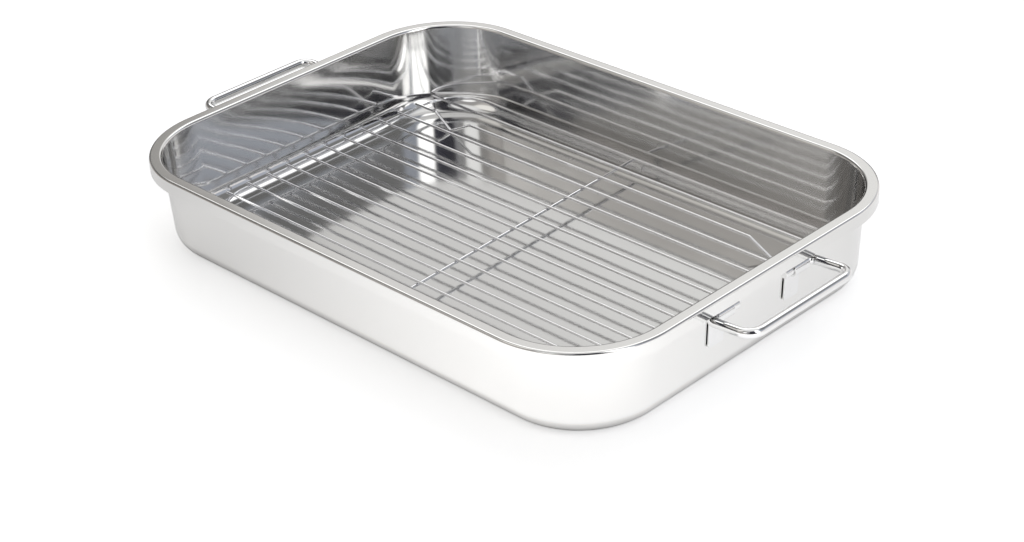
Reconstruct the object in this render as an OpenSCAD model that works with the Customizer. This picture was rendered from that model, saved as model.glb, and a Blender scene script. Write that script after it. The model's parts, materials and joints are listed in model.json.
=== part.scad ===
// Roasting pan drawn from one steel sheet, with two folding wire bails and a lift-out wire rack.
// The origin is the middle of the pan's underside. X runs along the pan and Z is up.

/* [Pan] */
// Length of the pan over the rim
pan_l = 419.1; // [380:0.1:480]
// Width of the pan over the rim
pan_w = 304.8; // [280:0.1:360]
// Height from the underside to the top of the rim
pan_h = 63.5; // [60:0.5:90]
// Thickness of the drawn sheet
sheet_t = 0.8; // [0.6:0.1:1.2]
// Outer radius of the rim's corners seen from above
corner_r = 65.9; // [62:0.1:70]
// Outer radius where the floor turns up into the wall
foot_r = 13.2; // [10:0.1:15]
// Outward lean of the walls, in degrees
wall_lean = 3.3; // [2:0.1:5]
// Thinning of the leaning wall on each face, from the drawing of the sheet
wall_thin = 0.02; // [0.01:0.01:0.03]

/* [Rim] */
// Width of the rim's flat top with its rounded outer edge
rim_w = 6.8; // [5:0.1:9]
// Radius of the lip where the rim's flat turns down into the wall
lip_r = 2.1; // [1.5:0.1:3]
// Radius of the rim's outer top edge
edge_r = 1.7; // [1.3:0.1:2.5]
// Height of the skirt turned down round the rim
skirt_h = 9; // [6:0.5:9.5]

/* [Brackets] */
// Width of each bracket along the end wall
bracket_w = 13.2; // [10:0.1:16]
// Distance from the middle of the end wall to the middle of a bracket
bracket_y = 34.4; // [30:0.1:40]
// Thickness of the bracket plate
plate_t = 1.2; // [0.8:0.1:1.5]
// Length of plate below the axis of the barrel
plate_drop = 23.3; // [18:0.1:28]
// Radius of the plate's lower corners
plate_corner_r = 1.5; // [0.5:0.1:4]
// Gap between the rolled end of the barrel and the plate
curl_gap = 0.6; // [0.3:0.1:1]
// Depth of the barrel's axis below the top of the rim
barrel_depth = 13.7; // [13:0.1:16]
// Diameter of the spot weld's dent in the plate
weld_d = 3; // [2:0.1:5]
// Depth of the spot weld's dent
weld_depth = 0.25; // [0.1:0.05:0.4]
// Height of the spot weld above the plate's lower edge
weld_up = 5; // [3:0.1:10]

/* [Bails] */
// Diameter of the bail wire
bail_d = 6; // [5:0.1:6.5]
// Distance from the barrel's axis to the middle of the bail's outer run
bail_reach = 31.2; // [24:0.1:36]
// Rise of the bail above level as it stands, in degrees
bail_rise = 4; // [0:0.5:6]
// Radius of the bail's outer corners, to the middle of the wire
bail_corner_r = 9; // [6:0.1:14]
// Radius of the bends beside the barrels, to the middle of the wire
bail_bend_r = 5; // [4:0.1:7]
// Length of wire that stands out past the inner end of each barrel
bail_end_l = 6.8; // [2:0.1:12]
// Gap between the wire and the bore of the barrel, all round
bail_fit = 0.1; // [0.05:0.01:0.1]
// Gap between the bend and the outer side of its bracket
bail_side_gap = 0.4; // [0.3:0.1:1]
// Distance that the left bail and its brackets sit nearer the front than the right ones
left_shift = 6; // [0:0.1:8]

/* [Rack] */
// Diameter of the frame wire and the cross wire
frame_d = 2.2; // [1.8:0.1:3]
// Diameter of the long wires
wire_d = 2; // [1.6:0.1:2.6]
// Gap from the long wires' ends to the end walls with the rack in the middle of the pan
rack_play_l = 16.9; // [15:0.1:24]
// Gap from the frame to the side walls with the rack in the middle of the pan
rack_play_w = 23.1; // [21:0.1:34]
// Distance that the rack lies from the middle towards the right end
rack_shift_l = -5.5; // [-6:0.1:8]
// Distance that the rack lies from the middle towards the back wall
rack_shift_w = 17.8; // [-18:0.1:18]
// Corner radius of the frame, to the middle of the wire
frame_corner_r = 32; // [30:0.1:38]
// Length of long wire that stands out past the middle of the frame's ends
wire_over = 2.2; // [1.5:0.1:5]
// Distance from the frame's sides to the first and the last long wire
wire_margin = 20.2; // [17:0.1:24]
// Length of cross wire that stands out past the last long wire
cross_over = 6; // [2:0.1:10]
// Turn of the cross wire away from square, in degrees
cross_skew = 2.5; // [0:0.1:3]

/* [Rack feet] */
// Depth of the V-shaped feet below the long wires
foot_depth = 10.1; // [8:0.1:16]
// Half the width of a foot at the top of its V
foot_half_w = 18; // [12:0.1:20]
// Distance from the middle of the V outwards to the foot's tip
foot_skew = 2.6; // [0:0.1:4]
// Distance from the long wires' ends to the middle of their feet
foot_inset = 38.1; // [30:0.1:60]
// Distance from the frame's front corners to the start of the frame's feet
front_foot_gap = 4; // [2:0.1:20]
// Swelling of the wire's radius where it is bent into a foot
foot_swell = 0.02; // [0.02:0.01:0.06]
// Gap between the feet and the pan's floor
floor_gap = 0.3; // [0.2:0.05:0.5]

/* [Hidden] */
$fn = 36;
// Overrun of every cut past the surface that it opens
cut_over = 1;
// Overlap of the leaning wall with the bends at its foot and its lip
seam = 0.1;
wire_count = 12;
// The long wire, counted from the back, that carries the rear pair of feet
foot_wire = 2;

// Corner arcs of the pan turn about [corner_x, corner_y]
corner_x = pan_l / 2 - corner_r;
corner_y = pan_w / 2 - corner_r;

// Centres of the profile's three arcs, measured outwards from the corner's centre line
edge_c = [corner_r - edge_r, pan_h - edge_r];
lip_c = [corner_r - rim_w, pan_h - lip_r];
foot_c = [
    lip_c[0] - (lip_c[1] - foot_r) * tan(wall_lean) - (lip_r + foot_r - sheet_t) / cos(wall_lean),
    foot_r
];
// Straight length of the leaning wall between the foot and the lip
wall_l = (lip_c - foot_c) * [sin(wall_lean), cos(wall_lean)];

// Half the clear length and width between the walls, where the foot's curve begins
inner_x = corner_x + foot_c[0] + (foot_r - sheet_t) / cos(wall_lean);
inner_y = corner_y + foot_c[0] + (foot_r - sheet_t) / cos(wall_lean);

// Barrel that grips the bail, seated on the outer face of the leaning end wall. Its place
// barrel_x is measured outwards from the corner's centre line, like the section
bail_r = bail_d / 2;
bore_r = bail_r + bail_fit;
barrel_r = bore_r + plate_t;
barrel_z = pan_h - barrel_depth;
barrel_x = foot_c[0] + (foot_r - wall_thin + barrel_r) / cos(wall_lean)
    + (barrel_z - foot_r) * tan(wall_lean);

// Bail, measured from the barrel's axis
bend_y = bracket_y + bracket_w / 2 + bail_side_gap;
arm_y = bend_y + bail_bend_r;
bail_end_y = bracket_y - bracket_w / 2 - bail_end_l;

// Rack, measured from its own middle
frame_r = frame_d / 2;
wire_r = wire_d / 2;
wire_x = tenth(inner_x - rack_play_l);
frame_x = wire_x - wire_over;
frame_y = tenth(inner_y - rack_play_w) - frame_r;
wire_pitch = 2 * (frame_y - wire_margin) / (wire_count - 1);
wire_low_z = sheet_t + floor_gap + wire_r;
wire_z = wire_low_z + foot_depth;
frame_z = wire_z - wire_r - frame_r;
frame_low_z = sheet_t + floor_gap + frame_r;
foot_x = wire_x - foot_inset;
front_foot_half_w = foot_half_w * (frame_z - frame_low_z) / foot_depth;
front_foot_x = frame_x - frame_corner_r - front_foot_gap - front_foot_half_w;

function tenth(v) = round(10 * v) / 10;

// Place of a long wire, counted from the back of the rack
function wire_y(i) = wire_pitch * ((wire_count + 1) / 2 - i);

// Part of a bent sheet: an arc band about the origin between two angles
module arc_band(r, from, to) {
    intersection() {
        difference() {
            circle(r = r);
            circle(r = r - sheet_t);
        }
        polygon([[0, 0], for (a = [from, (from + to) / 2, to]) 2 * r * [cos(a), sin(a)]]);
    }
}

// Section through the sheet from the floor to the lower edge of the skirt
module pan_section() {
    square([foot_c[0], sheet_t]);
    translate(foot_c) arc_band(foot_r, -90, -wall_lean);
    translate(foot_c) rotate(-wall_lean) translate([foot_r - sheet_t + wall_thin, -seam])
        square([sheet_t - 2 * wall_thin, wall_l + 2 * seam]);
    translate(lip_c) arc_band(lip_r, 90, 180 - wall_lean);
    translate([lip_c[0], pan_h - sheet_t]) square([edge_c[0] - lip_c[0], sheet_t]);
    translate(edge_c) arc_band(edge_r, 0, 90);
    translate([corner_r - sheet_t, pan_h - skirt_h]) square([sheet_t, skirt_h - edge_r]);
}

// One straight side of the pan, standing off the corner's centre line
module pan_side(offset_x, length) {
    translate([offset_x, 0, 0]) rotate([90, 0, 0])
        linear_extrude(height = length, center = true) pan_section();
}

module pan_shell() {
    color("gainsboro") union() {
        translate([-corner_x, -corner_y, 0]) cube([2 * corner_x, 2 * corner_y, sheet_t]);
        for (turn = [0, 180]) rotate(turn) {
            pan_side(corner_x, 2 * corner_y);
            rotate(90) pan_side(corner_y, 2 * corner_x);
            translate([corner_x, corner_y, 0]) rotate_extrude(angle = 90) pan_section();
            translate([-corner_x, corner_y, 0]) rotate(90) rotate_extrude(angle = 90) pan_section();
        }
    }
}

// Puts a piece on the axis of the right end's barrels
module on_barrel(y) {
    translate([corner_x, y, 0]) translate([barrel_x, 0, barrel_z]) children();
}

// Plate seen square on, with its lower corners rounded and its top edge at zero
module plate_outline() {
    inner_w = bracket_w - 2 * plate_corner_r;
    translate([-inner_w / 2, -plate_drop]) square([inner_w, plate_drop]);
    translate([-bracket_w / 2, plate_corner_r - plate_drop])
        square([bracket_w, plate_drop - plate_corner_r]);
    for (side = [-1, 1])
        translate([side * inner_w / 2, plate_corner_r - plate_drop]) circle(r = plate_corner_r);
}

// Bracket of the right end, leaning with the wall: flat plate with its top rolled into a barrel
module bracket(y) {
    color("silver") on_barrel(y) rotate([0, wall_lean, 0]) difference() {
        union() {
            rotate([90, 0, 0]) linear_extrude(height = bracket_w, center = true) difference() {
                circle(r = barrel_r);
                circle(r = bore_r);
                translate([-bore_r, -barrel_r]) square([curl_gap, barrel_r]);
            }
            translate([-barrel_r, 0, 0]) rotate([90, 0, 90])
                linear_extrude(height = plate_t) plate_outline();
        }
        translate([-bore_r - weld_depth, 0, weld_up - plate_drop]) rotate([0, 90, 0])
            cylinder(h = weld_depth + cut_over, d = weld_d);
    }
}

// A quarter turn of round wire about the origin, from X towards Y
module wire_bend(bend_r, r) {
    rotate_extrude(angle = 90) translate([bend_r, 0]) circle(r = r);
}

// Bail of the right end, standing out as it does when it is lifted
module bail(y) {
    color("whitesmoke") on_barrel(y) rotate([0, -bail_rise, 0]) {
        run_y = arm_y - bail_corner_r;
        translate([bail_reach, 0, 0]) rotate([90, 0, 0])
            cylinder(h = 2 * run_y, r = bail_r, center = true);
        for (side = [0, 1]) mirror([0, side, 0]) {
            translate([bail_reach - bail_corner_r, run_y, 0]) wire_bend(bail_corner_r, bail_r);
            translate([bail_bend_r, arm_y, 0]) rotate([0, 90, 0])
                cylinder(h = bail_reach - bail_corner_r - bail_bend_r, r = bail_r);
            translate([bail_bend_r, bend_y, 0]) rotate(90) wire_bend(bail_bend_r, bail_r);
            translate([0, bail_end_y, 0]) rotate([-90, 0, 0])
                cylinder(h = bend_y - bail_end_y, r = bail_r);
        }
    }
}

// Round wire through points in the plane of X and Z, swollen at every point but the first
module wire_path(points, r) {
    for (i = [1:len(points) - 1]) {
        step = points[i] - points[i - 1];
        translate([points[i - 1][0], 0, points[i - 1][1]])
            rotate([0, atan2(step[0], step[1]), 0]) cylinder(h = norm(step), r = r);
        translate([points[i][0], 0, points[i][1]]) sphere(r = r + foot_swell);
    }
}

// Straight wire along X with a V-shaped foot near each end, both feet centred v_x from the middle
module footed_wire(end_x, v_x, half_w, depth, r) {
    path = [[end_x, 0], [v_x + half_w, 0], [v_x + foot_skew, -depth], [v_x - half_w, 0]];
    for (side = [0, 1]) mirror([side, 0, 0]) wire_path(path, r);
    translate([half_w - v_x, 0, 0]) rotate([0, 90, 0]) cylinder(h = 2 * (v_x - half_w), r = r);
}

// Puts a piece of the rack where the rack lies in the pan
module on_rack() {
    translate([rack_shift_l, rack_shift_w, 0]) children();
}

// Outer wire of the rack, with the front pair of feet bent into its front run
module rack_frame() {
    run_x = frame_x - frame_corner_r;
    run_y = frame_y - frame_corner_r;
    color("whitesmoke") on_rack() {
        translate([0, -frame_y, frame_z])
            footed_wire(run_x, front_foot_x, front_foot_half_w, frame_z - frame_low_z, frame_r);
        translate([-run_x, frame_y, frame_z]) rotate([0, 90, 0]) cylinder(h = 2 * run_x, r = frame_r);
        for (side = [-1, 1]) {
            translate([side * frame_x, -run_y, frame_z]) rotate([-90, 0, 0])
                cylinder(h = 2 * run_y, r = frame_r);
            translate([side * run_x, run_y, frame_z]) rotate(45 - side * 45)
                wire_bend(frame_corner_r, frame_r);
            translate([side * run_x, -run_y, frame_z]) rotate(225 + side * 45)
                wire_bend(frame_corner_r, frame_r);
        }
    }
}

// Cross wire under the long wires, a little askew, with its back end against the frame
module rack_cross_wire() {
    front_l = cross_over - wire_y(wire_count);
    back_l = (frame_y - frame_r - frame_r * sin(cross_skew)) / cos(cross_skew);
    color("whitesmoke") on_rack() rotate(cross_skew) translate([0, -front_l, frame_z])
        rotate([-90, 0, 0]) cylinder(h = front_l + back_l, r = frame_r);
}

// Long wire lying on the frame and the cross wire
module rack_wire(i) {
    color("whitesmoke") on_rack() translate([0, wire_y(i), wire_z]) {
        if (i == foot_wire) footed_wire(wire_x, foot_x, foot_half_w, foot_depth, wire_r);
        else translate([-wire_x, 0, 0]) rotate([0, 90, 0]) cylinder(h = 2 * wire_x, r = wire_r);
    }
}

pan_shell();
bracket(-bracket_y);  // bracket_right_front
bracket(bracket_y);  // bracket_right_back
rotate(180) bracket(left_shift + bracket_y);  // bracket_left_front
rotate(180) bracket(left_shift - bracket_y);  // bracket_left_back
bail(0);  // handle_right
rotate(180) bail(left_shift);  // handle_left
rack_frame();
rack_cross_wire();
for (i = [1:wire_count])
    rack_wire(i);
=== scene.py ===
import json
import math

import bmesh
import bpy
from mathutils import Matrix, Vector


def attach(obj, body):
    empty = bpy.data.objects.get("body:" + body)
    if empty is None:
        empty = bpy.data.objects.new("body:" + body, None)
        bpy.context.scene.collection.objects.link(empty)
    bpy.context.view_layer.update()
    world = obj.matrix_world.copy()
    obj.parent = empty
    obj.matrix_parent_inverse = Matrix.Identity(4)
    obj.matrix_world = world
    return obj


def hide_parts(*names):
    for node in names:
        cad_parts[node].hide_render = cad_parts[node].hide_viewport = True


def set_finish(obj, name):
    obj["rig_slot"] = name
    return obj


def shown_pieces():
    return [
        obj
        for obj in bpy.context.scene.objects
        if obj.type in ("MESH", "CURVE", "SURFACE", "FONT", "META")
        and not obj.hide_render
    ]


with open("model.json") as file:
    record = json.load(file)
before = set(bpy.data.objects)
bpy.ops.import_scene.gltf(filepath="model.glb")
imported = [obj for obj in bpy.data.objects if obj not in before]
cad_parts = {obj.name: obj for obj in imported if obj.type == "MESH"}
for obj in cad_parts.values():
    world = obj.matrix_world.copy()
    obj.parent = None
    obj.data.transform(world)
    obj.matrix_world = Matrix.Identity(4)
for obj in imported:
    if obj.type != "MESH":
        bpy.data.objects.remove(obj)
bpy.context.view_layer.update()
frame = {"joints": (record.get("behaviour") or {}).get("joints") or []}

# %% [markdown]
# # A roasting pan with its rack
#
# This notebook dresses a measured model of a stainless steel roasting pan. The measured solids are
# already loaded: they say where everything is and how it moves. Each lesson below makes one real
# piece again, finer than its solid, and lets it ride on the body that moves it.
#
# All lengths are in metres, so a millimetre gets a name of its own.

bpy.context.scene.view_settings.view_transform = "Standard"
mm = 0.001
X, Y, Z = Vector((1, 0, 0)), Vector((0, 1, 0)), Vector((0, 0, 1))

# %% [markdown]
# ## Camera
#
# The photograph looks down over the near right corner of the pan. A camera is described best by what
# it looks at: a target point, how far away it stands, and its azimuth, elevation and roll. A long lens
# from more than a metre away keeps the far rim nearly as large as the near one.

# %% Camera
camera_azimuth = math.radians(45.607)
camera_elevation = math.radians(29.875)
camera_roll = math.radians(-2.812)
camera_target = Vector((56.857, -53.359, 30)) * mm
camera_distance = 1329.812 * mm

camera_data = bpy.data.cameras.new("photo_camera")
camera_data.sensor_width = 36
camera_data.lens = 77.3
camera = bpy.data.objects.new("photo_camera", camera_data)
bpy.context.scene.collection.objects.link(camera)
bpy.context.scene.camera = camera

away = Vector((
    math.sin(camera_azimuth) * math.cos(camera_elevation),
    -math.cos(camera_azimuth) * math.cos(camera_elevation),
    math.sin(camera_elevation),
))
across = Z.cross(away).normalized()
upward = away.cross(across)
tilted_across = across * math.cos(camera_roll) + upward * math.sin(camera_roll)
tilted_upward = upward * math.cos(camera_roll) - across * math.sin(camera_roll)
turn = Matrix((tilted_across, tilted_upward, away)).transposed().to_4x4()
camera.matrix_world = Matrix.Translation(camera_target + away * camera_distance) @ turn
print("camera stands at", [round(v / mm) for v in camera.matrix_world.translation], "mm")

# %% [markdown]
# ## Hand tools
#
# Every piece is modelled as by hand: a primitive is added, then shaped in edit mode. A few small
# helpers keep the lessons short. They start a piece, select the vertices, edges or faces that pass a
# test, extrude edges along a line or round a pivot, and apply modifiers.

# %% Hand tools
same_point = 0.002 * mm


def start_piece(name, add, **where):
    """A piece that starts from one primitive, with its place baked into its mesh."""
    bpy.ops.object.select_all(action="DESELECT")
    scale = where.pop("scale", (1, 1, 1))
    add(**where)
    piece = bpy.context.active_object
    piece.name = piece.data.name = name
    piece.scale = scale
    bpy.ops.object.transform_apply(location=True, rotation=True, scale=True)
    return piece


def edit(piece):
    bpy.ops.object.select_all(action="DESELECT")
    bpy.context.view_layer.objects.active = piece
    piece.select_set(True)
    bpy.ops.object.mode_set(mode="EDIT")
    bpy.ops.mesh.select_all(action="SELECT")


def pick(kind, passes):
    """Selects only the vertices, edges or faces that pass a test, and counts them."""
    bpy.ops.mesh.select_mode(type=kind)
    bpy.ops.mesh.select_all(action="DESELECT")
    mesh = bpy.context.edit_object.data
    cage = bmesh.from_edit_mesh(mesh)
    items = {"VERT": cage.verts, "EDGE": cage.edges, "FACE": cage.faces}[kind]
    chosen = [item for item in items if passes(item)]
    for item in chosen:
        item.select_set(True)
    bmesh.update_edit_mesh(mesh)
    return len(chosen)


def drag(step):
    """Extrudes the selected edges along a straight step."""
    bpy.ops.mesh.extrude_edges_move(TRANSFORM_OT_translate={"value": step})


def spin(pivot, axis, degrees, steps):
    """Extrudes the selected edges round a pivot, by the right-hand rule about an axis."""
    bpy.ops.mesh.spin(steps=steps, angle=-math.radians(degrees), center=pivot, axis=axis)


def merge_and_face_outwards():
    bpy.ops.mesh.select_all(action="SELECT")
    bpy.ops.mesh.remove_doubles(threshold=same_point)
    bpy.ops.mesh.normals_make_consistent(inside=False)


def add_modifier(piece, kind, **settings):
    """Adds one modifier with its settings and applies it."""
    bpy.ops.object.select_all(action="DESELECT")
    bpy.context.view_layer.objects.active = piece
    piece.select_set(True)
    modifier = piece.modifiers.new(kind.lower(), kind)
    for key, value in settings.items():
        setattr(modifier, key, value)
    bpy.ops.object.modifier_apply(modifier=modifier.name)


def smooth(piece, degrees=40):
    bpy.ops.object.select_all(action="DESELECT")
    bpy.context.view_layer.objects.active = piece
    piece.select_set(True)
    bpy.ops.object.shade_smooth_by_angle(angle=math.radians(degrees))
    add_modifier(piece, "WEIGHTED_NORMAL", mode="FACE_AREA", weight=100, keep_sharp=True)


def copy_piece(piece, name, place):
    """A copy with a mesh of its own, moved by a matrix that is baked in."""
    twin = piece.copy()
    twin.data = piece.data.copy()
    twin.name = twin.data.name = name
    bpy.context.scene.collection.objects.link(twin)
    twin.data.transform(place)
    return twin


# %% [markdown]
# ## The pan
#
# The pan is one drawn sheet. Its section never changes: flat floor, rounded foot, wall that leans out
# a little, tight lip, flat rim and a skirt turned down. So only a quarter is made. The floor starts
# as a plane, its end edge is dragged out along the section, the creases are bevelled into arcs, and the
# section is spun round the corner and dragged along the long side. Mirroring gives the other three
# quarters, and Solidify gives the sheet its thickness, which keeps it even round every bend.

# %% Sizes of the pan
pan_length, pan_width, pan_height = 419.1 * mm, 304.8 * mm, 63.5 * mm
sheet = 0.8 * mm
corner_radius = 65.9 * mm
foot_radius = 13.2 * mm
wall_lean = math.radians(3.3)
rim_width, lip_radius, edge_radius, skirt_height = 6.8 * mm, 2.1 * mm, 1.7 * mm, 9 * mm
corner_x = pan_length / 2 - corner_radius
corner_y = pan_width / 2 - corner_radius
lip_reach = corner_radius - rim_width
foot_reach = (
    lip_reach
    - (pan_height - lip_radius - foot_radius) * math.tan(wall_lean)
    - (lip_radius + foot_radius - sheet) / math.cos(wall_lean)
)


def wall_reach(z, face_radius):
    """How far from the corner's axis a face of the leaning wall is, at a height."""
    return foot_reach + face_radius / math.cos(wall_lean) + (z - foot_radius) * math.tan(wall_lean)


inner_radius = foot_radius - sheet
section = [
    (0, sheet),
    (wall_reach(sheet, inner_radius), sheet),
    (wall_reach(pan_height, inner_radius), pan_height),
    (corner_radius, pan_height),
    (corner_radius, pan_height - skirt_height),
]
print("section of the sheet, in mm:", [(round(r / mm, 2), round(z / mm, 2)) for r, z in section])

# %% The pan's quarter
tiny = 0.01 * mm
foot_segments, edge_segments, corner_steps = 12, 8, 40
pan = start_piece(
    "pan_body", bpy.ops.mesh.primitive_plane_add, size=1,
    location=(corner_x / 2, corner_y / 2, sheet), scale=(corner_x, corner_y, 1),
)
edit(pan)
pick("EDGE", lambda e: all(v.co.x > corner_x - tiny for v in e.verts))
for (r0, z0), (r1, z1) in zip(section, section[1:]):
    drag((r1 - r0, 0, z1 - z0))

half_turn = (math.pi / 2 - wall_lean) / 2
creases = [
    (section[1], inner_radius * math.tan(half_turn), foot_segments),
    (section[2], lip_radius * math.tan(half_turn), edge_segments),
    (section[3], edge_radius, edge_segments),
]
for (reach, height), offset, segments in creases:
    crease = Vector((corner_x + reach, height))
    pick("EDGE", lambda e: all((v.co.xz - crease).length < tiny for v in e.verts))
    bpy.ops.mesh.bevel(offset=offset, offset_type="OFFSET", segments=segments, affect="EDGES")

pick("EDGE", lambda e: all(v.co.y > corner_y - tiny and v.co.x > corner_x - tiny for v in e.verts))
spin((corner_x, corner_y, 0), Z, 90, corner_steps)
drag((-corner_x, 0, 0))
merge_and_face_outwards()
print("a quarter of the pan has", len(bmesh.from_edit_mesh(pan.data).faces), "faces")

# %% [markdown]
# ## The wall's bow
#
# A drawn wall isn't quite flat. The corners are stiff, and between them the sheet springs in by a
# fraction of a millimetre, which is enough to bend every line that it mirrors. The long faces of the
# wall are cut into a grid first. Then each level ring of the grid is pushed in along its normals, most
# at half height and in the middle of a wall, least at the corners.

# %% A grid on the walls
wall_low, wall_high = 14 * mm, 60 * mm
rings, columns = 15, 8
shortest_run = 60 * mm


def runs_along_a_wall(edge):
    return edge.calc_length() > shortest_run and abs(edge.verts[0].co.z - edge.verts[1].co.z) < tiny


def runs_up_the_wall(edge):
    low, high = sorted(v.co.z for v in edge.verts)
    return low < wall_low and high > wall_high


print(pick("EDGE", runs_along_a_wall), "edges run along the walls")
bpy.ops.mesh.subdivide(number_cuts=columns)
print(pick("EDGE", runs_up_the_wall), "edges run up the walls")
bpy.ops.mesh.subdivide(number_cuts=rings)

# %% The bow
end_bow, long_bow, corner_bow = 0.6 * mm, 0.15 * mm, 0.05 * mm


def on_wall(vertex):
    """True between foot and lip, and false on the skirt, which hangs at the same heights."""
    out_x, out_y = max(vertex.co.x - corner_x, 0), max(vertex.co.y - corner_y, 0)
    return wall_low < vertex.co.z < wall_high and math.hypot(out_x, out_y) < lip_reach + tiny


def depth_along(vertex):
    """How far the wall springs in at half height: most in the middle of a wall, least at the corner."""
    on_long_wall = vertex.co.y > corner_y + tiny
    along = min(vertex.co.x / corner_x if on_long_wall else vertex.co.y / corner_y, 1)
    middle_bow = long_bow if on_long_wall else end_bow
    return round(corner_bow + (middle_bow - corner_bow) * math.cos(math.pi / 2 * along ** 3), 7)


grid = [(round(v.co.z, 6), depth_along(v)) for v in bmesh.from_edit_mesh(pan.data).verts if on_wall(v)]
for level, depth in sorted(set(grid)):
    share = (level - wall_low) / (wall_high - wall_low)
    pick("VERT", lambda v: on_wall(v) and abs(v.co.z - level) < tiny and depth_along(v) == depth)
    bpy.ops.transform.shrink_fatten(value=4 * depth * share * (1 - share))
bpy.ops.object.mode_set(mode="OBJECT")
print(len(grid), "points pushed in by up to", end_bow / mm, "mm")

# %% The whole pan
sharp, pan_edge_break = math.radians(60), 0.18 * mm
add_modifier(pan, "MIRROR", use_axis=(True, True, False), merge_threshold=tiny)
edit(pan)
merge_and_face_outwards()
bpy.ops.object.mode_set(mode="OBJECT")
floor_face = max(pan.data.polygons, key=lambda p: p.area)
if floor_face.normal.z < 0:
    pan.data.flip_normals()
add_modifier(pan, "SOLIDIFY", thickness=sheet, offset=-1, use_even_offset=True)
add_modifier(pan, "BEVEL", width=pan_edge_break, segments=2, limit_method="ANGLE", angle_limit=sharp)
smooth(pan)
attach(pan, "pan")
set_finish(pan, "pan_sheet")
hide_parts("pan_shell")
print("pan:", len(pan.data.polygons), "faces")

# %% [markdown]
# ## The wire tool
#
# Handles and rack are all round wire, so one tool draws them. A ring of vertices is the wire's tip.
# A straight run drags the tip along its heading, and a bend spins it round a pivot beside it. The cut
# ends are closed and their edges broken with a small bevel.

# %% The wire tool
degrees_per_step, fewest_steps = 7, 3
end_bevel = 0.22        # the broken edge of a cut end, as a share of the wire's radius


def draw_wire(name, radius, sides, start, heading, moves, closed=False):
    """A wire drawn from a ring by straight runs and bends."""
    heading, tip = Vector(heading).normalized(), Vector(start)
    wire = start_piece(
        name, bpy.ops.mesh.primitive_circle_add, vertices=sides, radius=radius,
        location=tip, rotation=heading.to_track_quat("Z", "Y").to_euler(),
    )
    edit(wire)
    for move in moves:
        if move[0] == "run":
            drag(heading * move[1])
            tip += heading * move[1]
        else:
            bend_radius, degrees, axis = move[1:]
            pivot = tip + axis.cross(heading) * math.copysign(bend_radius, degrees)
            spin(pivot, axis, degrees, max(fewest_steps, round(abs(degrees) / degrees_per_step)))
            swing = Matrix.Rotation(math.radians(degrees), 3, axis)
            tip, heading = pivot + swing @ (tip - pivot), swing @ heading
    merge_and_face_outwards()
    if not closed:
        bpy.ops.mesh.fill_holes(sides=0)
        bpy.ops.mesh.select_mode(type="FACE")
        bpy.ops.mesh.select_all(action="DESELECT")
        bpy.ops.mesh.select_face_by_sides(number=4, type="GREATER")
        bpy.ops.mesh.bevel(offset=end_bevel * radius, segments=3, affect="EDGES")
        bpy.ops.mesh.select_all(action="SELECT")
        bpy.ops.mesh.normals_make_consistent(inside=False)
    bpy.ops.object.mode_set(mode="OBJECT")
    smooth(wire)
    print(name, "ends at", [round(v / mm, 2) for v in tip], "mm,", len(wire.data.polygons), "faces")
    return wire


# %% [markdown]
# ## Handles
#
# Each handle is one bail of 6 mm wire. It starts inside the loop as a free end, runs out through a
# barrel, turns along the arm, round the outer corner and across, and comes back the same way. The
# bail stands a few degrees above level, so its plane is tilted about the hinge.

# %% Handles
hinges = {joint["child"]: Vector(joint["pos_m"]) for joint in frame["joints"] if joint["type"] == "hinge"}
bail_radius, bail_sides = 3 * mm, 28
bail_reach, bail_rise = 31.2 * mm, math.radians(4)
bail_corner, bail_bend = 9 * mm, 5 * mm
bail_end_y, bail_bend_y = 21 * mm, 41.4 * mm
bail_arm_y = bail_bend_y + bail_bend


def draw_bail(name, body, side):
    """The bail of one end wall. Side is 1 for the right end and -1 for the left."""
    out = Vector((side * math.cos(bail_rise), 0, math.sin(bail_rise)))
    axis = out.cross(Y * side)
    arm = bail_reach - bail_bend - bail_corner
    run = 2 * (bail_arm_y - bail_corner)
    moves = [
        ("run", bail_bend_y - bail_end_y), ("bend", bail_bend, -90, axis), ("run", arm),
        ("bend", bail_corner, -90, axis), ("run", run), ("bend", bail_corner, -90, axis),
        ("run", arm), ("bend", bail_bend, -90, axis), ("run", bail_bend_y - bail_end_y),
    ]
    bail = draw_wire(name, bail_radius, bail_sides, hinges[body] + Y * side * bail_end_y, Y * side, moves)
    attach(bail, body)
    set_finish(bail, "bail_wire")
    return bail


bails = [draw_bail("handle_wire_right", "right_bail", 1), draw_bail("handle_wire_left", "left_bail", -1)]
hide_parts("handle_right")
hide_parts("handle_left")

# %% [markdown]
# ## Brackets
#
# A bracket is a strip of sheet with its top rolled into a barrel round the handle's wire. Its plate
# is a plane with the lower corners rounded, its top edge is spun round the hinge almost all the way,
# and Solidify gives the strip its thickness. A spot weld leaves a shallow round dent, which a ball
# presses into the plate. One bracket is drawn about its barrel's axis, and four copies of it are set on
# the two hinges, leaning with the wall.

# %% Sizes of a bracket
bracket_width, bracket_y = 13.2 * mm, 34.4 * mm
plate_sheet, plate_drop, plate_corner = 1.2 * mm, 23.3 * mm, 1.5 * mm
plate_edge_break = 0.2 * mm
barrel_play, curl_degrees, curl_steps = 0.1 * mm, 302, 44
barrel_radius = bail_radius + barrel_play + plate_sheet
weld_height, weld_radius, weld_depth = 5 * mm, 1.5 * mm, 0.25 * mm
print("a barrel measures", round(2 * barrel_radius / mm, 2), "mm across")

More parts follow.
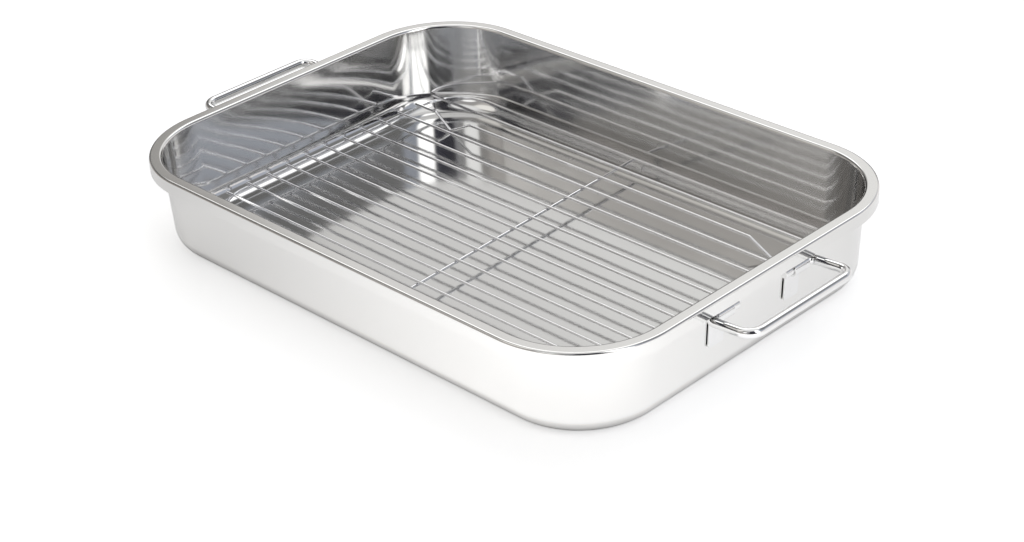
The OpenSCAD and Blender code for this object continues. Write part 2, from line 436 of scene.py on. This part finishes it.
# %% One bracket, drawn about its barrel's axis
bracket = start_piece(
    "bracket_pattern", bpy.ops.mesh.primitive_plane_add, size=1, rotation=(0, math.radians(-90), 0),
    location=(-barrel_radius, 0, -plate_drop / 2), scale=(plate_drop, bracket_width, 1),
)
edit(bracket)
pick("VERT", lambda v: v.co.z < -plate_drop + tiny)
bpy.ops.mesh.bevel(offset=plate_corner, segments=5, affect="VERTICES")
pick("EDGE", lambda e: all(v.co.z > -tiny for v in e.verts))
spin((0, 0, 0), Y, curl_degrees, curl_steps)
merge_and_face_outwards()
bpy.ops.object.mode_set(mode="OBJECT")
plate_face = max(bracket.data.polygons, key=lambda p: p.area)
if plate_face.normal.x > 0:
    bracket.data.flip_normals()
add_modifier(bracket, "SOLIDIFY", thickness=plate_sheet, offset=-1, use_even_offset=True)
add_modifier(bracket, "BEVEL", width=plate_edge_break, segments=3, limit_method="ANGLE", angle_limit=sharp)
print("the rolled strip has", len(bracket.data.polygons), "faces")

# %% The spot weld's dent
ball_radius = (weld_radius ** 2 + weld_depth ** 2) / (2 * weld_depth)
ball = start_piece(
    "weld_tip", bpy.ops.mesh.primitive_uv_sphere_add, segments=32, ring_count=80, radius=ball_radius,
    rotation=(0, math.radians(90), 0),
    location=(plate_sheet - barrel_radius - weld_depth + ball_radius, 0, weld_height - plate_drop),
)
add_modifier(bracket, "BOOLEAN", object=ball, operation="DIFFERENCE", solver="EXACT")
bpy.data.objects.remove(ball)
smooth(bracket)
print("bracket:", len(bracket.data.polygons), "faces")

# %% Four brackets
lean_with_wall = Matrix.Rotation(wall_lean, 4, "Y")
for end, end_turn in (("right", 0), ("left", math.pi)):
    for place, y in (("front", -bracket_y), ("back", bracket_y)):
        barrel = hinges[f"{end}_bail"] + Y * y
        stand = Matrix.Translation(barrel) @ Matrix.Rotation(end_turn, 4, "Z") @ lean_with_wall
        piece = copy_piece(bracket, f"handle_bracket_{end}_{place}", stand)
        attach(piece, "pan")
        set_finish(piece, "bracket_sheet")
        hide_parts(f"bracket_{end}_{place}")
        print(piece.name, "has its barrel at", [round(v / mm, 1) for v in barrel], "mm")
bpy.data.objects.remove(bracket)

# %% [markdown]
# ## The rack
#
# The rack is welded from straight and bent wire. Its frame is a rounded rectangle, a cross wire runs
# across the middle, and twelve long wires lie on both. Two pairs of V-shaped feet hold it off the floor:
# one pair is bent into the second long wire from the back, the other into the front of the frame.

# %% Sizes of the rack
rack_middle = Vector((-5.5, 17.8, 0)) * mm
frame_radius, wire_radius = 1.1 * mm, 1 * mm
frame_sides, wire_sides = 16, 14
frame_z, wire_z = 10.1 * mm, 12.2 * mm
frame_x, frame_y, frame_corner = 178.8 * mm, 116.5 * mm, 32 * mm
wire_x, wire_count, outer_wire_y = 181 * mm, 12, 96.3 * mm
wire_pitch = 2 * outer_wire_y / (wire_count - 1)
foot_x, foot_half_width, foot_depth, foot_skew = 142.9 * mm, 18 * mm, 10.1 * mm, 2.6 * mm
cross_skew, cross_overhang = math.radians(2.5), 6 * mm
front_foot_depth, front_foot_gap = 7.9 * mm, 4 * mm
front_foot_half_width = foot_half_width * front_foot_depth / foot_depth
front_foot_x = frame_x - frame_corner - front_foot_gap - front_foot_half_width
foot_bend = 2.4 * mm
print(wire_count, "long wires lie", round(wire_pitch / mm, 2), "mm apart")


def foot_leg(width, depth):
    """Length and slope of a leg that joins two equal bends, a width apart and a depth apart."""
    drop = depth - 2 * foot_bend
    leg = math.sqrt(width ** 2 + drop ** 2 - (2 * foot_bend) ** 2)
    return leg, math.degrees(math.atan2(drop, width) + math.atan2(2 * foot_bend, leg))


def foot_moves(first_width, last_width, depth, axis):
    """Bends and legs of a V-shaped foot, from level wire down to its tip and back to level wire."""
    first_leg, first_slope = foot_leg(first_width, depth)
    last_leg, last_slope = foot_leg(last_width, depth)
    return [
        ("bend", foot_bend, first_slope, axis), ("run", first_leg),
        ("bend", foot_bend, -first_slope - last_slope, axis),
        ("run", last_leg), ("bend", foot_bend, last_slope, axis),
    ]


# %% Frame and cross wire
run_x, run_y = frame_x - frame_corner, frame_y - frame_corner
corner = ("bend", frame_corner, -90, Z)
front_end = ("run", run_x - front_foot_x - front_foot_half_width)
front_steep, front_shallow = front_foot_half_width - foot_skew, front_foot_half_width + foot_skew
right_foot = foot_moves(front_steep, front_shallow, front_foot_depth, -Y)
left_foot = foot_moves(front_shallow, front_steep, front_foot_depth, -Y)
frame_moves = [
    ("run", run_x), corner, ("run", 2 * run_y), corner,
    front_end, *right_foot, ("run", 2 * (front_foot_x - front_foot_half_width)), *left_foot, front_end,
    corner, ("run", 2 * run_y), corner, ("run", run_x),
]
frame_start = rack_middle + Y * frame_y + Z * frame_z
rack_frame = draw_wire("rack_outer_wire", frame_radius, frame_sides, frame_start, X, frame_moves, closed=True)
cross_heading = Matrix.Rotation(cross_skew, 3, "Z") @ Y
cross_front = outer_wire_y + cross_overhang
cross_back = (frame_y - frame_radius - frame_radius * math.sin(cross_skew)) / math.cos(cross_skew)
cross_start = rack_middle - cross_heading * cross_front + Z * frame_z
cross_moves = [("run", cross_front + cross_back)]
cross_wire = draw_wire("rack_middle_wire", frame_radius, frame_sides, cross_start, cross_heading, cross_moves)
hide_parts("rack_frame")
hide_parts("rack_cross_wire")

# %% Long wires
steep, shallow = foot_half_width - foot_skew, foot_half_width + foot_skew
footed_moves = [
    ("run", wire_x - foot_x - foot_half_width), *foot_moves(steep, shallow, foot_depth, Y),
    ("run", 2 * (foot_x - foot_half_width)), *foot_moves(shallow, steep, foot_depth, Y),
    ("run", wire_x - foot_x - foot_half_width),
]
rack_pieces = [rack_frame, cross_wire]
for number in range(1, wire_count + 1):
    y = wire_pitch * ((wire_count + 1) / 2 - number)
    start = rack_middle - X * wire_x + Y * y + Z * wire_z
    moves = footed_moves if number == 2 else [("run", 2 * wire_x)]
    wire = draw_wire(f"rack_long_wire_{number}", wire_radius, wire_sides, start, X, moves)
    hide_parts(f"rack_wire_{number}")
    rack_pieces.append(wire)

for piece in rack_pieces:
    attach(piece, "rack")
    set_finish(piece, "rack_wire")

# %% [markdown]
# ## Finishes
#
# Polished stainless steel is a mirror with a little haze. What makes it look like pressed sheet and not
# like glass is its unevenness: long shallow waves left by the press, which bend every reflection, and
# fine polishing lines, which blur it a little in one direction. Both are built once, as node groups.

# %% Node helpers
def add_node(tree, kind, **settings):
    node = tree.nodes.new(kind)
    for key, value in settings.items():
        setattr(node, key, value)
    return node


def math_node(tree, operation, first, second=None):
    """A math node whose inputs are sockets or plain numbers."""
    node = add_node(tree, "ShaderNodeMath", operation=operation)
    for socket, value in zip(node.inputs, (first, second)):
        if isinstance(value, bpy.types.NodeSocket):
            tree.links.new(value, socket)
        elif value is not None:
            socket.default_value = value
    return node.outputs[0]


def open_group(name, inputs, outputs):
    """A shader node group with named float inputs and outputs."""
    group = bpy.data.node_groups.new(name, "ShaderNodeTree")
    for label, value in inputs.items():
        socket = group.interface.new_socket(name=label, in_out="INPUT", socket_type="NodeSocketFloat")
        socket.default_value = value
    for label in outputs:
        group.interface.new_socket(name=label, in_out="OUTPUT", socket_type="NodeSocketFloat")
    return group, group.nodes.new("NodeGroupInput"), group.nodes.new("NodeGroupOutput")


# %% Waves of pressed sheet
waves, waves_in, waves_out = open_group("pressed_waves", {"Length": 40.0, "Height": 0.02}, ["Height"])
waves_point = add_node(waves, "ShaderNodeTexCoord")
noise = add_node(waves, "ShaderNodeTexNoise")
noise.inputs["Detail"].default_value = 1.5
noise.inputs["Roughness"].default_value = 0.4
waves.links.new(waves_point.outputs["Object"], noise.inputs["Vector"])
waves_per_metre = math_node(waves, "DIVIDE", 1 / mm, waves_in.outputs["Length"])
waves.links.new(waves_per_metre, noise.inputs["Scale"])
ripple = math_node(waves, "MULTIPLY", noise.outputs["Fac"], waves_in.outputs["Height"])
waves.links.new(ripple, waves_out.inputs["Height"])
print("group", waves.name, "has", len(waves.nodes), "nodes")

# %% Polishing lines
lines, lines_in, lines_out = open_group("polishing_lines", {"Roughness": 0.08, "Spread": 0.03}, ["Roughness"])
grain_along, grain_across = 12, 900
lines_point = add_node(lines, "ShaderNodeTexCoord")
stretch = add_node(lines, "ShaderNodeMapping")
stretch.inputs["Scale"].default_value = (grain_along, grain_across, grain_across)
lines.links.new(lines_point.outputs["Object"], stretch.inputs["Vector"])
grain = add_node(lines, "ShaderNodeTexNoise")
grain.inputs["Scale"].default_value = 1
grain.inputs["Detail"].default_value = 2
lines.links.new(stretch.outputs["Vector"], grain.inputs["Vector"])
either_way = math_node(lines, "SUBTRACT", grain.outputs["Fac"], 0.5)
swing = math_node(lines, "MULTIPLY", either_way, lines_in.outputs["Spread"])
lines.links.new(math_node(lines, "ADD", lines_in.outputs["Roughness"], swing), lines_out.inputs["Roughness"])
print("group", lines.name, "has", len(lines.nodes), "nodes")

# %% [markdown]
# ## Four steels
#
# All four finishes are the same kind of mirror. The pan's sheet has long waves, a bracket short ones,
# and the wires hardly any. The plated wires of the rack are the brightest and the sharpest. A function
# makes a steel with its waves, and a second one blurs the small parts along their polishing lines.


# %% Steel
def steel(name, colour, wave_length, wave_height):
    """Polished steel, bent by waves whose length and height are in millimetres."""
    material = bpy.data.materials.new(name)
    material.use_nodes = True
    tree = material.node_tree
    shader = tree.nodes["Principled BSDF"]
    shader.inputs["Base Color"].default_value = (*colour, 1)
    shader.inputs["Metallic"].default_value = 1
    press = add_node(tree, "ShaderNodeGroup", node_tree=waves)
    press.inputs["Length"].default_value = wave_length
    press.inputs["Height"].default_value = wave_height
    bump = add_node(tree, "ShaderNodeBump")
    bump.inputs["Distance"].default_value = mm
    tree.links.new(press.outputs["Height"], bump.inputs["Height"])
    tree.links.new(bump.outputs["Normal"], shader.inputs["Normal"])
    return material


def polish(material, roughness, spread):
    """Blurs a steel along its polishing lines."""
    tree = material.node_tree
    group = add_node(tree, "ShaderNodeGroup", node_tree=lines)
    group.inputs["Roughness"].default_value = roughness
    group.inputs["Spread"].default_value = spread
    tree.links.new(group.outputs["Roughness"], tree.nodes["Principled BSDF"].inputs["Roughness"])


wall_colour = (0.78, 0.775, 0.765)
pan_steel = steel("polished_pan_steel", wall_colour, 45, 0.2)
bracket_steel = steel("bracket_steel", (0.80, 0.80, 0.80), 12, 0.02)
bail_steel = steel("bail_steel", (0.82, 0.82, 0.82), 20, 0.01)
rack_plating = steel("rack_plating", (0.86, 0.86, 0.87), 12, 0.01)
grain_spread = 0.03
for small_steel, roughness in ((bracket_steel, 0.09), (bail_steel, 0.06), (rack_plating, 0.05)):
    polish(small_steel, roughness, grain_spread)
    print(small_steel.name, "has a roughness near", roughness)

# %% [markdown]
# ## The pan's own finish
#
# No polishing wheel leaves a sheet this large equally bright, so the pan carries a haze that comes and
# goes over a few centimetres: it makes the mirror a little sharper here and softer there. The floor of a
# drawn pan isn't stretched like its walls and keeps a greyer skin, so its colour changes over the foot.

# %% Haze on the pan
cloud_scale, haze_spread, pan_roughness = 30, 0.06, 0.10
pan_tree = pan_steel.node_tree
pan_shader = pan_tree.nodes["Principled BSDF"]
pan_point = add_node(pan_tree, "ShaderNodeTexCoord")
clouds = add_node(pan_tree, "ShaderNodeTexNoise")
clouds.inputs["Scale"].default_value = cloud_scale
clouds.inputs["Detail"].default_value = 1
pan_tree.links.new(pan_point.outputs["Object"], clouds.inputs["Vector"])
cloud = math_node(pan_tree, "SUBTRACT", clouds.outputs["Fac"], 0.5)
haze = math_node(pan_tree, "MULTIPLY", cloud, haze_spread)
pan_tree.links.new(math_node(pan_tree, "ADD", haze, pan_roughness), pan_shader.inputs["Roughness"])
print(pan_steel.name, "has a roughness near", pan_roughness)

# %% The floor's greyer skin
skin_colour, skin_top, skin_end = (0.69, 0.69, 0.685), 1 * mm, 3 * mm
pan_axes = add_node(pan_tree, "ShaderNodeSeparateXYZ")
pan_tree.links.new(pan_point.outputs["Object"], pan_axes.inputs[0])
above_floor = add_node(pan_tree, "ShaderNodeMapRange")
above_floor.inputs["From Min"].default_value = skin_top
above_floor.inputs["From Max"].default_value = skin_end
pan_tree.links.new(pan_axes.outputs["Z"], above_floor.inputs["Value"])
tone = add_node(pan_tree, "ShaderNodeMix", data_type="RGBA")
tone.inputs["A"].default_value = (*skin_colour, 1)
tone.inputs["B"].default_value = (*wall_colour, 1)
pan_tree.links.new(above_floor.outputs[0], tone.inputs["Factor"])
pan_tree.links.new(tone.outputs["Result"], pan_shader.inputs["Base Color"])
print("the pan's material has", len(pan_tree.nodes), "nodes")

# %% Each piece gets its finish
finishes = {
    "pan_sheet": pan_steel, "bracket_sheet": bracket_steel, "bail_wire": bail_steel, "rack_wire": rack_plating,
}
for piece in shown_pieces():
    piece.data.materials.clear()
    piece.data.materials.append(finishes[piece["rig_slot"]])

# %% [markdown]
# ## Paper floor
#
# A mirror shows its room, so the room is the light. The pan stands on a sheet of white paper, which
# is a large plane with a matte colour and a glow. To the camera the glow is even, just enough to make
# the paper white with a faint shadow. To the metal it is bright at the front right, dim at the left and
# the back, and gone under the pan, where no light reaches the paper.

# %% Paper floor
floor_size, paper_gap = 12, 0.05 * mm
floor = start_piece("studio_floor", bpy.ops.mesh.primitive_plane_add, size=floor_size, location=(0, 0, -paper_gap))
paper = bpy.data.materials.new("studio_paper")
paper.use_nodes = True
paper_tree = paper.node_tree
paper_tree.nodes.clear()
paper_output = add_node(paper_tree, "ShaderNodeOutputMaterial")
matte = add_node(paper_tree, "ShaderNodeBsdfDiffuse")
matte.inputs["Color"].default_value = (0.82, 0.82, 0.82, 1)
glow = add_node(paper_tree, "ShaderNodeEmission")
matte_and_glow = add_node(paper_tree, "ShaderNodeAddShader")
paper_tree.links.new(matte.outputs[0], matte_and_glow.inputs[0])
paper_tree.links.new(glow.outputs[0], matte_and_glow.inputs[1])
paper_tree.links.new(matte_and_glow.outputs[0], paper_output.inputs["Surface"])
floor.data.materials.append(paper)
print("the paper is", floor_size, "m wide")

# %% The paper's glow
paper_rays = add_node(paper_tree, "ShaderNodeLightPath")
paper_axes = add_node(paper_tree, "ShaderNodeSeparateXYZ")
paper_point = add_node(paper_tree, "ShaderNodeTexCoord")
paper_tree.links.new(paper_point.outputs["Object"], paper_axes.inputs[0])


def slope(value, start, end, first, last):
    """A straight slope of a value, from first at the start to last at the end."""
    ramp = add_node(paper_tree, "ShaderNodeMapRange")
    for label, number in (("From Min", start), ("From Max", end), ("To Min", first), ("To Max", last)):
        ramp.inputs[label].default_value = number
    paper_tree.links.new(value, ramp.inputs["Value"])
    return ramp.outputs[0]


def past_corner(coordinate, start):
    """How far out a point of the paper lies beyond the axis of the pan's corner, squared."""
    past = math_node(paper_tree, "SUBTRACT", math_node(paper_tree, "ABSOLUTE", coordinate), start)
    return math_node(paper_tree, "POWER", math_node(paper_tree, "MAXIMUM", past, 0), 2)


glow_left, glow_right, back_share, camera_glow = 0.16, 0.79, 0.42, 0.52
dark_reach, lit_reach = 48 * mm, 64 * mm
left_to_right = slope(paper_axes.outputs["X"], -240 * mm, 100 * mm, glow_left, glow_right)
front_to_back = slope(paper_axes.outputs["Y"], -150 * mm, 150 * mm, 1, back_share)
past_x = past_corner(paper_axes.outputs["X"], corner_x)
past_y = past_corner(paper_axes.outputs["Y"], corner_y)
from_corner_axis = math_node(paper_tree, "SQRT", math_node(paper_tree, "ADD", past_x, past_y))
clear_of_pan = slope(from_corner_axis, dark_reach, lit_reach, 0, 1)
open_glow = math_node(paper_tree, "MULTIPLY", left_to_right, front_to_back)
metal_glow = math_node(paper_tree, "MULTIPLY", open_glow, clear_of_pan)
to_metal = math_node(paper_tree, "MULTIPLY", paper_rays.outputs["Is Glossy Ray"], metal_glow)
to_camera = math_node(paper_tree, "MULTIPLY", paper_rays.outputs["Is Camera Ray"], camera_glow)
paper_tree.links.new(math_node(paper_tree, "ADD", to_metal, to_camera), glow.inputs["Strength"])
print("the paper's material has", len(paper_tree.nodes), "nodes")

# %% [markdown]
# ## Walls of the room
#
# Every streak in the pan is a piece of the room, so the room is drawn by direction. First come its
# walls: one colour ramp all the way round, by the compass angle of a ray. Going round from the left
# they are dim, then brownish at the front, then black behind the camera. To the right stands a lamp,
# the back right is bluish, and the back left is the bright wall that the rim and the floor mirror.

# %% Walls of the room
world = bpy.data.worlds.new("studio")
bpy.context.scene.world = world
world.use_nodes = True
room_tree = world.node_tree
room_tree.nodes.clear()
ray = add_node(room_tree, "ShaderNodeTexCoord")
ray_axes = add_node(room_tree, "ShaderNodeSeparateXYZ")
room_tree.links.new(ray.outputs["Generated"], ray_axes.inputs[0])
azimuth = math_node(room_tree, "ARCTAN2", ray_axes.outputs["Y"], ray_axes.outputs["X"])
around = math_node(room_tree, "ADD", math_node(room_tree, "DIVIDE", azimuth, 2 * math.pi), 0.5)
walls = add_node(room_tree, "ShaderNodeValToRGB")
room_tree.links.new(around, walls.inputs["Fac"])
wall_light = [
    (-180, (0.13, 0.13, 0.13)),
    (-160, (0.20, 0.19, 0.18)),
    (-140, (0.22, 0.21, 0.20)),
    (-129, (0.25, 0.24, 0.23)),
    (-126, (0.36, 0.345, 0.33)),
    (-120, (0.50, 0.475, 0.45)),
    (-105, (0.38, 0.37, 0.36)),
    (-74, (0.36, 0.355, 0.35)),
    (-58, (0.36, 0.36, 0.37)),
    (-55, (0.32, 0.32, 0.34)),
    (-51, (0.05, 0.05, 0.06)),
    (-22, (0.05, 0.05, 0.07)),
    (-18, (2.2, 2.2, 2.2)),
    (3, (2.2, 2.2, 2.2)),
    (8, (0.38, 0.41, 0.47)),
    (45, (0.50, 0.53, 0.60)),
    (90, (0.58, 0.59, 0.62)),
    (118, (0.93, 0.925, 0.91)),
    (130, (0.93, 0.925, 0.91)),
    (137, (0.82, 0.81, 0.80)),
    (141, (0.80, 0.79, 0.775)),
    (144.5, (0.40, 0.39, 0.375)),
    (160, (0.25, 0.245, 0.24)),
    (180, (0.13, 0.13, 0.13)),
]
stops = walls.color_ramp.elements
while len(stops) > 1:
    stops.remove(stops[-1])
for index, (degrees, colour) in enumerate(wall_light):
    position = degrees / 360 + 0.5
    stop = stops[0] if index == 0 else stops.new(position)
    stop.position = position
    stop.color = (*colour, 1)
print(len(stops), "stops round the room")

# %% [markdown]
# ## Light and dark patches
#
# Over the walls lie soft patches. Low down, the white paper sweeps up at the back and grey paper at the
# front left, the back left has a dark skirting, and the photographer is a dark outline at the camera.
# Higher up are a dark patch of wall, lamps and windows, and the ceiling. The light of the two windows at
# the back runs along the wires of the rack. Each patch is laid over the ones before it through a mask,
# which is a smooth step of how far a ray rises, or of its angle to one direction, or both.


# %% Masks and mixing
def fade(value, start, end):
    """A smooth step of a value from zero at the start to one at the end."""
    step = add_node(room_tree, "ShaderNodeMapRange", interpolation_type="SMOOTHSTEP")
    step.inputs["From Min"].default_value = start
    step.inputs["From Max"].default_value = end
    room_tree.links.new(value, step.inputs["Value"])
    return step.outputs[0]


def rise(start, end):
    """The mask of how far a ray rises: nothing at the start angle, all at the end angle."""
    return fade(ray_axes.outputs["Z"], math.sin(math.radians(start)), math.sin(math.radians(end)))


def toward(degrees, elevation):
    """The cosine of the angle between the ray and a direction in the room."""
    level = math.cos(math.radians(elevation))
    dot = add_node(room_tree, "ShaderNodeVectorMath", operation="DOT_PRODUCT")
    dot.inputs[1].default_value = (
        level * math.cos(math.radians(degrees)), level * math.sin(math.radians(degrees)),
        math.sin(math.radians(elevation)),
    )
    room_tree.links.new(ray.outputs["Generated"], dot.inputs[0])
    return dot.outputs["Value"]


def overlay(what, mask, base, colour):
    """Lays a colour over another one where the mask is white. Its node keeps the patch's name."""
    mix = add_node(room_tree, "ShaderNodeMix", data_type="RGBA", label=what)
    room_tree.links.new(mask, mix.inputs["Factor"])
    room_tree.links.new(base, mix.inputs["A"])
    mix.inputs["B"].default_value = (*colour, 1)
    return mix.outputs["Result"]


def disc(what, base, degrees, elevation, outer, inner, colour):
    """A round patch: full inside the inner angle, gone outside the outer one."""
    mask = fade(toward(degrees, elevation), math.cos(math.radians(outer)), math.cos(math.radians(inner)))
    return overlay(what, mask, base, colour)


def low_band(what, base, top, full, degrees, outer, inner, colour):
    """A band along one side of the floor. Outer and inner are cosines, like what toward gives."""
    mask = math_node(room_tree, "MULTIPLY", rise(top, full), fade(toward(degrees, 0), outer, inner))
    return overlay(what, mask, base, colour)


def grey(value):
    return value, value, value


# %% Low patches
room = disc("dark patch of wall", walls.outputs["Color"], 46, 45, 20, 14, grey(0.22))
low_bands = [
    ("white paper sweep", 17, 12, 70, 0.1, 0.5, (1.0, 0.96, 0.95)),
    ("grey paper", 20, 14, -130, 0.3, 0.7, (0.50, 0.47, 0.44)),
    ("dark skirting", 21, 16, 138, 0.75, 0.9, grey(0.05)),
]
for what, *band in low_bands:
    room = low_band(what, room, *band)
room = disc("photographer", room, -37, 0, 27, 23, grey(0.03))
print(len(low_bands), "bands lie along the floor")

# %% High patches
front_discs = [
    ("front window", -80, 33, 12, 7, grey(1.3)),
    ("small lamp", -139, 35.5, 7, 2, (1.05, 1.03, 1.0)),
    ("brownish wall", -122, 41, 17, 11, (0.55, 0.53, 0.51)),
    ("high lamp", -131, 51, 17, 10, (1.0, 0.98, 0.94)),
]
back_discs = [
    ("back window", 106, 51, 19, 14, grey(1.6)),
    ("back left window", 149, 48, 17, 12, grey(1.7)),
]
for what, *shape in front_discs:
    room = disc(what, room, *shape)
room = overlay("ceiling", rise(58, 68), room, grey(0.9))
for what, *shape in back_discs:
    room = disc(what, room, *shape)
print(len(front_discs + back_discs), "patches hang higher up")

# %% [markdown]
# ## White behind the pan
#
# The camera sees plain white where it looks past the pan. All other rays see the room.

# %% The world's output
lit = add_node(room_tree, "ShaderNodeBackground")
room_tree.links.new(room, lit.inputs["Color"])
white = add_node(room_tree, "ShaderNodeBackground")
white.inputs["Color"].default_value = (1, 1, 1, 1)
choose = add_node(room_tree, "ShaderNodeMixShader")
room_rays = add_node(room_tree, "ShaderNodeLightPath")
room_output = add_node(room_tree, "ShaderNodeOutputWorld")
room_tree.links.new(room_rays.outputs["Is Camera Ray"], choose.inputs[0])
room_tree.links.new(lit.outputs[0], choose.inputs[1])
room_tree.links.new(white.outputs[0], choose.inputs[2])
room_tree.links.new(choose.outputs[0], room_output.inputs["Surface"])
print("the room has", len(room_tree.nodes), "nodes")
